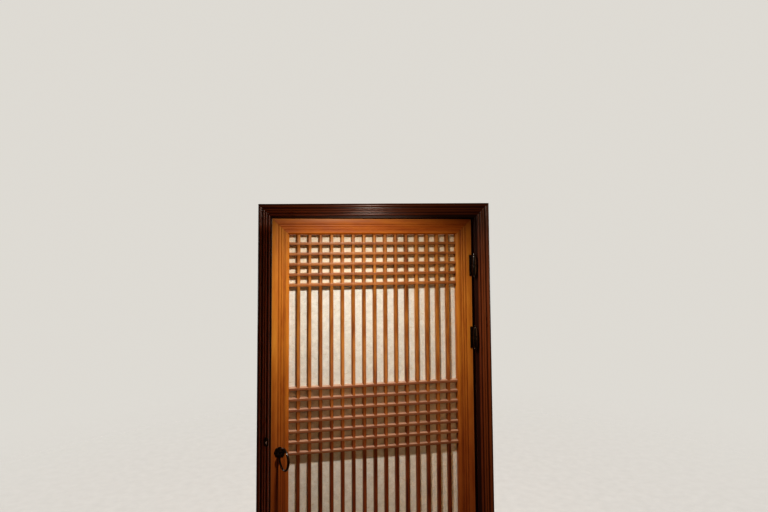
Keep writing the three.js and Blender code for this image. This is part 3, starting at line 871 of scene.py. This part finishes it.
def mulberry_paper():
    """Handmade mulberry paper, pasted behind the lattice.

    The eye sees a pale sheet with cloudy thick and thin places, long pale and tan fibres that cross each
    other, a browner edge along the uprights where the paste soaked in, and painted shade behind the bands
    of cross bars. Real fibres are 0.03 mm thick, which is too fine to show, so they are drawn about 1 mm
    thick.
    """
    material, tree = new_tree("handmade_mulberry_paper")
    place = add_node(tree, "TexCoord").outputs["Object"]
    parts = add_node(tree, "SeparateXYZ", links={0: place})
    clouds = spots(tree, place, SHEET_CLOUDS, {"Detail": 4, "Roughness": 0.6})
    sheet = add_node(tree, "ValToRGB", {"stops": SHEET_TONES}, {"Fac": clouds})
    pale = fibres(tree, place, PALE_FIBRES)
    tan = fibres(tree, place, TAN_FIBRES)
    for lines, shade in ((pale, "#F1E9D6"), (tan, "#B9A27A")):
        faint = add_node(tree, "Math", {"operation": "MULTIPLY", 1: 0.45}, {0: lines})
        sheet = add_node(tree, "Mix", {**COLOURS, "B": colour(shade)}, {"Factor": faint, "A": sheet})
    sheet = pasted(tree, sheet, parts.outputs["X"])
    sheet = painted_band_shade(tree, sheet, parts.outputs["Z"])
    relief = add_node(tree, "Math", {"operation": "MULTIPLY_ADD", 1: 0.3}, {0: pale, 2: clouds})
    bump = add_node(tree, "Bump", {"Strength": 0.5, "Distance": 0.3 * MM}, {"Height": relief})
    soft = {"Roughness": 0.92, "IOR": 1.47, "Sheen Weight": 0.08}
    glow = {"Subsurface Weight": 0.4, "Subsurface Radius": (1.0, 0.87, 0.72), "Subsurface Scale": 1.2 * MM}
    shader = add_node(tree, "BsdfPrincipled", {**soft, **glow}, {"Base Color": sheet, "Normal": bump})
    add_node(tree, "OutputMaterial", links={"Surface": shader})
    return material


def forged_iron():
    """Iron forged black and waxed.

    The eye sees a grey-black skin with shallow hammer marks, brown where old rust lies under the wax, and
    paler spots that shine more where the scale is worn thin.
    """
    material, tree = new_tree("forged_waxed_iron")
    place = add_node(tree, "TexCoord").outputs["Object"]
    hammer = spots(tree, place, HAMMER_MARKS, {"Detail": 1, "Roughness": 0.4})
    scale = spots(tree, place, FORGE_SCALE, {"Detail": 4, "Roughness": 0.65})
    iron = add_node(tree, "ValToRGB", {"stops": IRON_TONES}, {"Fac": scale})
    rust = add_node(tree, "MapRange", {**SMOOTH, "From Min": 0.56, "From Max": 0.7}, {"Value": hammer})
    rust = add_node(tree, "Math", {"operation": "MULTIPLY", 1: 0.5}, {0: rust})
    iron = add_node(tree, "Mix", {**COLOURS, "B": colour("#5A3826")}, {"Factor": rust, "A": iron})
    gloss = add_node(tree, "MapRange", {**CLOUD_RANGE, "To Min": 0.42, "To Max": 0.24}, {"Value": scale})
    relief = add_node(tree, "Math", {"operation": "MULTIPLY_ADD", 1: 0.25}, {0: scale, 2: hammer})
    bump = add_node(tree, "Bump", {"Strength": 0.6, "Distance": 0.6 * MM}, {"Height": relief})
    shader = add_node(
        tree, "BsdfPrincipled", {"Metallic": 1, "Coat Weight": 1, "Coat Roughness": 0.15},
        {"Base Color": iron, "Roughness": gloss, "Normal": bump},
    )
    add_node(tree, "OutputMaterial", links={"Surface": shader})
    return material


painted_wood = gloss_paint()
stile_pine = pine_for_stiles()
rail_pine = pine_for_rails()
upright_pine = pine_for_uprights()
cross_bar_pine = pine_for_cross_bars()
paper_sheet = mulberry_paper()
black_iron = forged_iron()


# Frame

def around(width, height):
    """Places of the left, right, top and bottom member of a rectangle, each seen from its outer corner."""
    return (
        Matrix.Identity(4),
        moved(width, 0, height) @ turned_about("Y", 180),
        moved(0, 0, height) @ turned_about("Y", 90),
        moved(width, 0, 0) @ turned_about("Y", -90),
    )


def frame_members():
    outline = softened(frame_outline(), FRAME_SOFTNESS)
    names = ("latch_jamb", "hinge_jamb", "head", "sill")
    lengths = (FRAME_HEIGHT, FRAME_HEIGHT, FRAME_WIDTH, FRAME_WIDTH)
    for index, place in enumerate(around(FRAME_WIDTH, FRAME_HEIGHT)):
        start = GRAIN_STARTS[index]
        name = "reeded_" + names[index]
        mesh = mitred_member(name, outline, lengths[index], slope=1, grain_start=start)
        hand_worked(mesh, *PLANED_FRAME, seed=index)
        place = frame_place @ place @ moved(0, 0, -start)
        put(mesh, place, "frame", [painted_wood], "painted_wood", names[index])


def nail_head(place):
    """A forged nail's low head, facing along the place's Z."""
    profile = [(NAIL_RADIUS * out, NAIL_HEIGHT * up) for out, up in NAIL_CROWN]
    profile += [(NAIL_RADIUS, NAIL_RIM), (NAIL_RADIUS, -NAIL_SUNK), (0, -NAIL_SUNK)]
    return placed(turned("nail", profile, NAIL_SIDES), place)


def stop_strips():
    """Planed strips round the opening, nailed from the front."""
    to_front = turned_about("X", 90)
    for node in ("latch_stop", "hinge_stop", "head_stop", "sill_stop"):
        low, high = (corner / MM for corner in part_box(node))
        middle = (low + high) / 2
        size = high - low
        upright = size.z > size.x
        length = max(size.x, size.z)
        count = round(length / STOP_NAIL_SPACING)
        nails = []
        for nail in range(count):
            along = (nail + 0.5) / count * length - length / 2
            x, z = (0, along) if upright else (along, 0)
            nails.append(nail_head(moved(x, STOP_NAIL_SUNK - size.y / 2, z) @ to_front))
        strip = slab(node, low - middle, high - middle, STOP_EDGE)
        mesh = forged_together("nailed_" + node, [strip, together("stop_nails", nails)])
        put(mesh, moved(*middle), "frame", [painted_wood], "painted_wood", node)


# Leaf

def leaf_members():
    """Two stiles and two rails, whose mitres meet at the corners though the rails are narrower."""
    to_rail = RAIL_WIDTH / STILE_WIDTH
    members = (
        ("latch_stile", STILE_WIDTH, LEAF_HEIGHT, to_rail, stile_pine),
        ("hinge_stile", STILE_WIDTH, LEAF_HEIGHT, to_rail, stile_pine),
        ("top_rail", RAIL_WIDTH, LEAF_WIDTH, 1 / to_rail, rail_pine),
        ("bottom_rail", RAIL_WIDTH, LEAF_WIDTH, 1 / to_rail, rail_pine),
    )
    for index, place in enumerate(around(LEAF_WIDTH, LEAF_HEIGHT)):
        node, width, length, slope, pine = members[index]
        start = GRAIN_STARTS[index]
        outline = softened(leaf_outline(width), LEAF_SOFTNESS)
        mesh = mitred_member("moulded_" + node, outline, length, slope, start)
        hand_worked(mesh, *PLANED_LEAF, seed=FIRST_LEAF_SEED + index)
        put(mesh, leaf_place @ place @ moved(0, 0, -start), "leaf", [pine], "varnished_pine", node)


def lattice_bar(length, proud, place):
    """A bar along its place's Z whose front lies in the lattice's front face, or stands proud of it."""
    outline = softened(bar_outline(proud), BAR_EDGE)
    rings = [[(across, depth, along) for across, depth in outline] for along in (0, length)]
    return placed(mesh_of("bar", *skin(rings)), place)


def lattice():
    """Uprights and cross bars, halved over each other. Cross bars stand a hair proud, so the joints show."""
    uprights = []
    for middle in UPRIGHTS:
        place = moved(middle, LATTICE_SETBACK, RAIL_WIDTH + FIT_GAP)
        uprights.append(lattice_bar(LATTICE_HEIGHT, 0, place))
    cross_bars = []
    for height in CROSS_BARS:
        place = moved(STILE_WIDTH + FIT_GAP, LATTICE_SETBACK, height) @ turned_about("Y", 90)
        cross_bars.append(lattice_bar(LATTICE_WIDTH, CROSS_BAR_PROUD, place))
    down = together("uprights", uprights)
    over = together("cross_bars", cross_bars)
    for number, mesh in enumerate((down, over)):
        mesh.materials.append(upright_pine)
        mesh.materials.append(cross_bar_pine)
        for face in mesh.polygons:
            face.material_index = number
    mesh = forged_together("lattice_bars", [down, over])
    put(mesh, leaf_place, "leaf", [], "varnished_pine", "lattice")


def slack(x, z):
    """How far the sheet stands off at a point: nothing on a bar, and up to PAPER_SLACK between bars."""
    to_bar = min(min(abs(x - bar) for bar in UPRIGHTS), min(abs(z - bar) for bar in CROSS_BARS))
    looseness = min(1, max(0, (to_bar - BAR_BACK / 2) / BAR_BACK))
    wave = 0.5 + 0.5 * noise.noise(Vector((x / PAPER_WAVE[0], z / PAPER_WAVE[1], 0)))
    return PAPER_SLACK * looseness * wave


def paper_side(depth):
    """Points of one side of the sheet, in rows from below."""
    points = []
    for row in range(PAPER_ROWS + 1):
        z = RAIL_WIDTH + FIT_GAP + LATTICE_HEIGHT * row / PAPER_ROWS
        for column in range(PAPER_COLUMNS + 1):
            x = STILE_WIDTH + FIT_GAP + LATTICE_WIDTH * column / PAPER_COLUMNS
            points.append((x, depth + slack(x, z), z))
    return points


def paper_faces():
    """Faces of the sheet's front, its back and the rim between them."""
    width = PAPER_COLUMNS + 1
    back = width * (PAPER_ROWS + 1)
    faces = []
    for row in range(PAPER_ROWS):
        for column in range(PAPER_COLUMNS):
            corner = row * width + column
            quad = (corner, corner + 1, corner + 1 + width, corner + width)
            faces.append(quad)
            faces.append(tuple(back + index for index in reversed(quad)))
    rim = list(range(PAPER_COLUMNS))
    rim += [row * width + PAPER_COLUMNS for row in range(PAPER_ROWS)]
    rim += [PAPER_ROWS * width + column for column in range(PAPER_COLUMNS, 0, -1)]
    rim += [row * width for row in range(PAPER_ROWS, 0, -1)]
    for index, corner in enumerate(rim):
        after = rim[(index + 1) % len(rim)]
        faces.append((after, corner, back + corner, back + after))
    return faces


def paper():
    """A thin sheet that is tight on the bars and a little slack between them."""
    front = LATTICE_SETBACK + BAR_DEPTH + PAPER_OFF_BARS
    points = paper_side(front) + paper_side(front + PAPER_THICKNESS)
    mesh = mesh_of("paper_sheet", points, paper_faces())
    put(mesh, leaf_place, "leaf", [paper_sheet], "mulberry_paper", "paper")


# Ironwork

def barrel_outline():
    """Half a barrel from its lower tip up, as (radius, height above the hinge's middle)."""
    curve = flowing(BARREL_OUTLINE)
    return [(min(radius, BARREL_RADIUS), height - HINGE_HEIGHT / 2) for radius, height in curve]


def pintle():
    """The half on the jamb: a barrel that ends in the pin, its tongue and its nailed plate."""
    profile = barrel_outline()
    profile += [(BARREL_RADIUS, -SHOULDER_CLEARANCE - BARREL_BEVEL_ALONG)]
    profile += [(BARREL_RADIUS - BARREL_BEVEL_ACROSS, -SHOULDER_CLEARANCE)]
    profile += [(PIN_RADIUS, -SHOULDER_CLEARANCE), (PIN_RADIUS, PIN_LENGTH - PIN_TIP_TAPER)]
    profile += [(PIN_RADIUS - PIN_TIP_TAPER / 2, PIN_LENGTH), (0, PIN_LENGTH)]
    outside = HINGE_GAP / 2 - PLATE_SEAT_GAP
    inside = outside - HINGE_PLATE
    half = HINGE_PLATE_HALF
    tongue_low = (inside, JAMB_TONGUE_FROM, -half + TONGUE_SHORTER)
    tongue_high = (outside, JAMB_PLATE[0] + TONGUE_LAP, -TONGUE_FROM_MIDDLE)
    across = sum(JAMB_PLATE) / 2
    to_opening = turned_about("Y", -90)
    return [
        hand_worked(turned("barrel", profile), *HAMMERED_BARREL, seed=1),
        slab("tongue", tongue_low, tongue_high, PLATE_EDGE),
        slab("plate", (inside, JAMB_PLATE[0], -half), (outside, JAMB_PLATE[1], half), PLATE_EDGE),
        together("nails", [nail_head(moved(inside, across, height) @ to_opening) for height in PLATE_NAILS]),
    ]


def socket_half():
    """The half on the leaf: a barrel with the pin's bore, its tongue and its nailed plate."""
    bore = PIN_RADIUS + PIN_CLEARANCE
    profile = [(0, SOCKET_BORE), (bore, SOCKET_BORE), (bore, 0)]
    profile += [(BARREL_RADIUS - BARREL_BEVEL_ACROSS, 0), (BARREL_RADIUS, BARREL_BEVEL_ALONG)]
    profile += [(radius, -height) for radius, height in reversed(barrel_outline())]
    half = HINGE_PLATE_HALF
    back = PIN_TO_LEAF_FACE - FIT_GAP
    front = back - HINGE_PLATE
    tongue_low = (LEAF_PLATE[1] - TONGUE_LAP, front, TONGUE_FROM_MIDDLE)
    tongue_high = (LEAF_TONGUE_TO, back, half - TONGUE_SHORTER)
    across = sum(LEAF_PLATE) / 2
    to_front = turned_about("X", 90)
    return [
        hand_worked(turned("barrel", profile), *HAMMERED_BARREL, seed=2),
        slab("tongue", tongue_low, tongue_high, PLATE_EDGE),
        slab("plate", (LEAF_PLATE[0], front, -half), (LEAF_PLATE[1], back, half), PLATE_EDGE),
        together("nails", [nail_head(moved(across, front, height) @ to_front) for height in PLATE_NAILS]),
    ]


def hinges():
    for name in HINGE_NAMES:
        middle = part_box(name + "_hinge_pintle")[0].z + HINGE_HEIGHT * MM / 2
        place = Matrix.Translation(Vector((pin.x, pin.y, middle)))
        lower = forged_together(name + "_pintle_forged", pintle())
        put(lower, place, "frame", [black_iron], "black_iron", name + "_hinge_pintle")
        upper = forged_together(name + "_socket_forged", socket_half())
        put(upper, place @ leaf_turn, "leaf", [black_iron], "black_iron", name + "_hinge_socket")


def rose_ring(reach, thickness, groove_depth):
    """A ring of points on the rose plate, at a reach from 0 at its hole to 1 at its rim.

    It stands out by a share of the plate's thickness, less the depth of the grooves between the petals.
    """
    ring = []
    for step in range(ROSE_LOBES * ROSE_LOBE_POINTS):
        angle = 2 * math.pi * step / (ROSE_LOBES * ROSE_LOBE_POINTS)
        sunk = 1 - abs(math.cos(ROSE_LOBES * angle / 2))
        rim = ROSE_RADIUS - ROSE_LOBE_DEPTH * sunk
        radius = SHANK_BORE_RADIUS + (rim - SHANK_BORE_RADIUS) * reach
        depth = groove_depth * sunk - FIT_GAP - ROSE_THICKNESS * thickness
        ring.append((radius * math.cos(angle), depth, radius * math.sin(angle)))
    return ring


def rose_plate():
    """A flower of eight raised petals with a thin hammered rim."""
    rings = [rose_ring(*section) for section in ROSE_SECTIONS]
    return hand_worked(mesh_of("petalled_rose_plate", *skin(rings, "joined")), *HAMMERED_ROSE, seed=3)


def staple():
    """An eye on a round shank that goes through the stile and is clinched over its washer."""
    clinch_front = LEAF_THICKNESS + WASHER_THICKNESS + 2 * FIT_GAP
    clinch_back = clinch_front + CLINCH_THICKNESS
    shank_front = -(EYE_REACH - EYE_RADIUS + EYE_WELD)
    shank = turned("shank", [
        (0, shank_front),
        (SHANK_RADIUS * END_SHARE, shank_front),
        (SHANK_RADIUS, shank_front + SHANK_ROUNDING),
        (SHANK_RADIUS, clinch_front),
        (CLINCH_RADIUS, clinch_front),
        (CLINCH_RADIUS, clinch_front + CLINCH_RIM),
        (CLINCH_RADIUS * END_SHARE, clinch_back - CLINCH_ROUNDING),
        (0, clinch_back),
    ])
    placed(shank, turned_about("X", -90))
    loop = bent_rod("loop", EYE_RADIUS, EYE_ROD_RADIUS, EYE_STEPS, EYE_UNEVEN, seed=4)
    placed(loop, moved(0, -EYE_REACH, 0))
    return forged_together("forged_staple", [shank, loop])


def washer():
    front = LEAF_THICKNESS + FIT_GAP
    back = front + WASHER_THICKNESS
    profile = [(SHANK_BORE_RADIUS, front), (WASHER_RADIUS, front), (WASHER_RADIUS, front + WASHER_RIM)]
    profile += [(WASHER_RADIUS * out, back - below) for out, below in WASHER_CROWN]
    profile += [(SHANK_BORE_RADIUS, back - WASHER_DIP)]
    mesh = hand_worked(turned("hammered_washer", profile, closed=True), *HAMMERED_WASHER, seed=5)
    return placed(mesh, turned_about("X", -90))


def ring_pull():
    """The ring hangs from the eye's middle, its origin, and leans out against the eye's friction."""
    lift = math.radians(RING_LIFT)
    mesh = bent_rod(
        "forged_ring_pull", RING_RADIUS, RING_ROD_RADIUS, RING_STEPS, RING_UNEVEN, seed=6,
        thicker=RING_THICKER, thickest_at=lift - math.pi / 2,
    )
    placed(mesh, turned_about("X", 90))
    placed(mesh, moved(RING_RADIUS * math.sin(lift), 0, -RING_RADIUS * math.cos(lift)))
    return placed(mesh, leaf_turn @ turned_about("Z", -RING_TURN))


def keeper_outline():
    """An oblong with half-round ends, upright."""
    end = KEEPER_WIDTH / 2
    end_middle = KEEPER_HEIGHT / 2 - end
    outline = []
    for first, middle in ((0, end_middle), (math.pi, -end_middle)):
        for step in range(KEEPER_END_STEPS + 1):
            angle = first + math.pi * step / KEEPER_END_STEPS
            outline.append((end * math.cos(angle), end * math.sin(angle) + middle))
    return outline


def keeper():
    """An oblong plate nailed on the jamb, with the eye that the ring hooks over."""
    sections = (
        (KEEPER_BACK_EDGE, 0),
        (0, KEEPER_BACK_EDGE),
        (0, KEEPER_THICKNESS - KEEPER_FRONT_EDGE),
        (KEEPER_FRONT_EDGE, KEEPER_THICKNESS),
    )
    rings = []
    for inset, front in sections:
        narrower = 1 - 2 * inset / KEEPER_WIDTH
        shorter = 1 - 2 * inset / KEEPER_HEIGHT
        rings.append([(x * narrower, -front, z * shorter) for x, z in keeper_outline()])
    plate = mesh_of("plate", *skin(rings))
    loop = bent_rod("loop", EYE_RADIUS, EYE_ROD_RADIUS, EYE_STEPS, EYE_UNEVEN, seed=7)
    reach = KEEPER_THICKNESS + EYE_RADIUS + EYE_ROD_RADIUS - EYE_WELD
    placed(loop, moved(0, -reach, 0) @ turned_about("Y", 90))
    to_front = turned_about("X", 90)
    nails = [nail_head(moved(0, -KEEPER_THICKNESS, height) @ to_front) for height in KEEPER_NAILS]
    return forged_together("forged_keeper", [plate, loop, together("nails", nails)])


def ring_pull_and_keeper():
    pull_place = leaf_place @ moved(STILE_WIDTH / 2, 0, LEAF_HEIGHT - RING_PULL_BELOW_TOP)
    for mesh, node in ((rose_plate(), "rose_plate"), (staple(), "staple"), (washer(), "staple_washer")):
        put(mesh, pull_place, "leaf", [black_iron], "black_iron", node)
    put(ring_pull(), Matrix.Translation(eye), "ring", [black_iron], "black_iron", "ring")
    low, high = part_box("latch_keeper")
    keeper_place = Matrix.Translation(Vector(((low.x + high.x) / 2, high.y, (low.z + high.z) / 2)))
    put(keeper(), keeper_place, "frame", [black_iron], "black_iron", "latch_keeper")


# Studio

# The camera's place is in metres, and its angles are in degrees
CAMERA_PLACE = (-0.0357, -2.4803, 1.5681)
CAMERA_YAW = 1.901
CAMERA_PITCH = 3.666
CAMERA_ROLL = -0.397
CAMERA_LENS = 26.48
CAMERA_SENSOR = 36
CAMERA_SHIFT = (-0.00093, -0.05609)


def camera():
    """Stands where the photograph was taken: eye height, turned a little right and up."""
    data = bpy.data.cameras.new("camera")
    data.sensor_width = CAMERA_SENSOR
    data.lens = CAMERA_LENS
    data.shift_x, data.shift_y = CAMERA_SHIFT
    seen = bpy.data.objects.new("camera", data)
    bpy.context.scene.collection.objects.link(seen)
    seen.matrix_world = (
        Matrix.Translation(Vector(CAMERA_PLACE))
        @ turned_about("Z", -CAMERA_YAW)
        @ turned_about("X", 90 + CAMERA_PITCH)
        @ turned_about("Z", CAMERA_ROLL)
    )
    bpy.context.scene.camera = seen


def area_light(name, place, towards, size, power, tint, spread):
    """A softbox that isn't seen itself. Its place, aim and size are in metres."""
    data = bpy.data.lights.new(name, "AREA")
    data.spread = math.radians(spread)
    data.shape = "RECTANGLE"
    data.size, data.size_y = size
    data.energy = power
    data.color = colour(tint)[:3]
    lamp = bpy.data.objects.new(name, data)
    bpy.context.scene.collection.objects.link(lamp)
    lamp.location = place
    lamp.rotation_mode = "QUATERNION"
    lamp.rotation_quaternion = (Vector(towards) - Vector(place)).to_track_quat("-Z", "Y")
    lamp.visible_camera = False
    return lamp


def share_light(lamp, link_state, names):
    """Lets the lamp light only the named pieces, or everything except them."""
    lit = bpy.data.collections.new("lit_by_" + lamp.name)
    for name in names:
        lit.objects.link(bpy.data.objects[name])
    for linked in lit.collection_objects:
        linked.light_linking.link_state = link_state
    lamp.light_linking.receiver_collection = lit


FLOOR = ("studio_floor",)
DARK_PIECES = ("reeded_latch_jamb", "reeded_head")
FRAME_PIECES = ("reeded_latch_jamb", "reeded_hinge_jamb", "reeded_head")

# A softbox's name, place, aim, size, watts, colour and spread in degrees, and then what it leaves unlit
SOFTBOXES = (
    ("key", (-0.02, -0.70, 1.95), (-0.02, -0.68, 0.95), (0.08, 0.08), 11.6, "#FFF8EE", 141, FLOOR),
    ("fill", (2.2, -1.2, 1.3), (0, 0, 0.8), (0.8, 1.2), 3.5, "#FFC890", 180, FLOOR + DARK_PIECES),
    ("right", (3.0, 2.6, 1.9), (0, 0.2, 0.9), (1.5, 2.4), 30, "#FFFFFF", 180, FLOOR),
    ("left", (-3.0, 2.6, 1.9), (0, 0.2, 0.9), (1.5, 2.4), 30, "#FFFFFF", 180, FLOOR),
    ("back", (0.8, 1.6, 0.3), (0, 0, 0.5), (1.5, 0.8), 44, "#FFD6B4", 180, FLOOR + DARK_PIECES),
)
FRAME_LIGHT = ("frame_light", (-0.02, -0.70, 1.84), (-0.02, -0.10, 1.70), (0.08, 0.08), 1, "#FFF0E0", 180)
FLOOR_LIGHT = 2.6
FLOOR_LIGHT_ANGLE = 50


def softboxes():
    """A small softbox near the door's top, as the photograph's light falls, a faint fill, and large softboxes
    for the sides and the back. The latch jamb and the head stay in shade, as they do in the photograph.
    """
    for *softbox, unlit in SOFTBOXES:
        share_light(area_light(*softbox), "EXCLUDE", unlit)


def frame_light():
    """A weak light for the frame alone, which lifts the crests of its reeds near the top."""
    share_light(area_light(*FRAME_LIGHT), "INCLUDE", FRAME_PIECES)


def floor_light():
    """The floor has its own even light, so it stays pale and throws none up at the door."""
    sky = bpy.data.lights.new("floor_light", "SUN")
    sky.energy = FLOOR_LIGHT
    sky.angle = math.radians(FLOOR_LIGHT_ANGLE)
    lamp = bpy.data.objects.new("floor_light", sky)
    bpy.context.scene.collection.objects.link(lamp)
    share_light(lamp, "INCLUDE", FLOOR)


FLOOR_RADIUS = 5.0
FLOOR_SOLID_TO = 1.5
FLOOR_GONE_AT = 4.5
FLOOR_SIDES = 96
AMBIENT_STRENGTH = 0.03
BACKDROP_STRENGTH = 1


def floor_paint():
    """Matt paint, faintly mottled. It thins out with the distance from the door."""
    material, tree = new_tree("matt_studio_floor")
    place = add_node(tree, "TexCoord").outputs["Object"]
    away = add_node(tree, "VectorMath", {"operation": "LENGTH"}, {0: place}).outputs["Value"]
    fade = {**SMOOTH, "From Min": FLOOR_GONE_AT, "From Max": FLOOR_SOLID_TO}
    cover = add_node(tree, "MapRange", fade, {"Value": away})
    mottle = spots(tree, place, FLOOR_MOTTLE, {"Detail": 3})
    shade = add_node(tree, "ValToRGB", {"stops": FLOOR_TONES}, {"Fac": mottle})
    shader = add_node(tree, "BsdfPrincipled", {"Roughness": 0.9}, {"Base Color": shade, "Alpha": cover})
    add_node(tree, "OutputMaterial", links={"Surface": shader})
    return material


def floor():
    """A pale matt floor that fades into the backdrop, so that no edge or horizon shows."""
    points = []
    for side in range(FLOOR_SIDES):
        angle = 2 * math.pi * side / FLOOR_SIDES
        points.append(Vector((math.cos(angle), math.sin(angle), 0)) * FLOOR_RADIUS)
    mesh = bpy.data.meshes.new("studio_floor")
    mesh.from_pydata(points, [], [tuple(range(FLOOR_SIDES))])
    mesh.materials.append(floor_paint())
    piece = bpy.data.objects.new("studio_floor", mesh)
    bpy.context.scene.collection.objects.link(piece)
    piece.visible_diffuse = False
    piece.visible_glossy = False


def backdrop():
    """An even pale surround, dim as light and brighter as seen, and the contrast of the picture."""
    world = bpy.data.worlds.new("studio")
    bpy.context.scene.world = world
    world.use_nodes = True
    tree = world.node_tree
    tree.nodes.clear()
    seen = add_node(tree, "LightPath").outputs["Is Camera Ray"]
    lit = add_node(tree, "Background", {"Color": colour("#FFB478"), "Strength": AMBIENT_STRENGTH})
    shown = add_node(tree, "Background", {"Color": colour("#CFCCC6"), "Strength": BACKDROP_STRENGTH})
    mixed = add_node(tree, "MixShader", links={0: seen, 1: lit, 2: shown})
    add_node(tree, "OutputWorld", links={"Surface": mixed})
    bpy.context.scene.view_settings.view_transform = "Standard"
    bpy.context.scene.view_settings.look = "Medium High Contrast"


camera()
frame_members()
stop_strips()
leaf_members()
lattice()
paper()
hinges()
ring_pull_and_keeper()
floor()
softboxes()
frame_light()
floor_light()
backdrop()
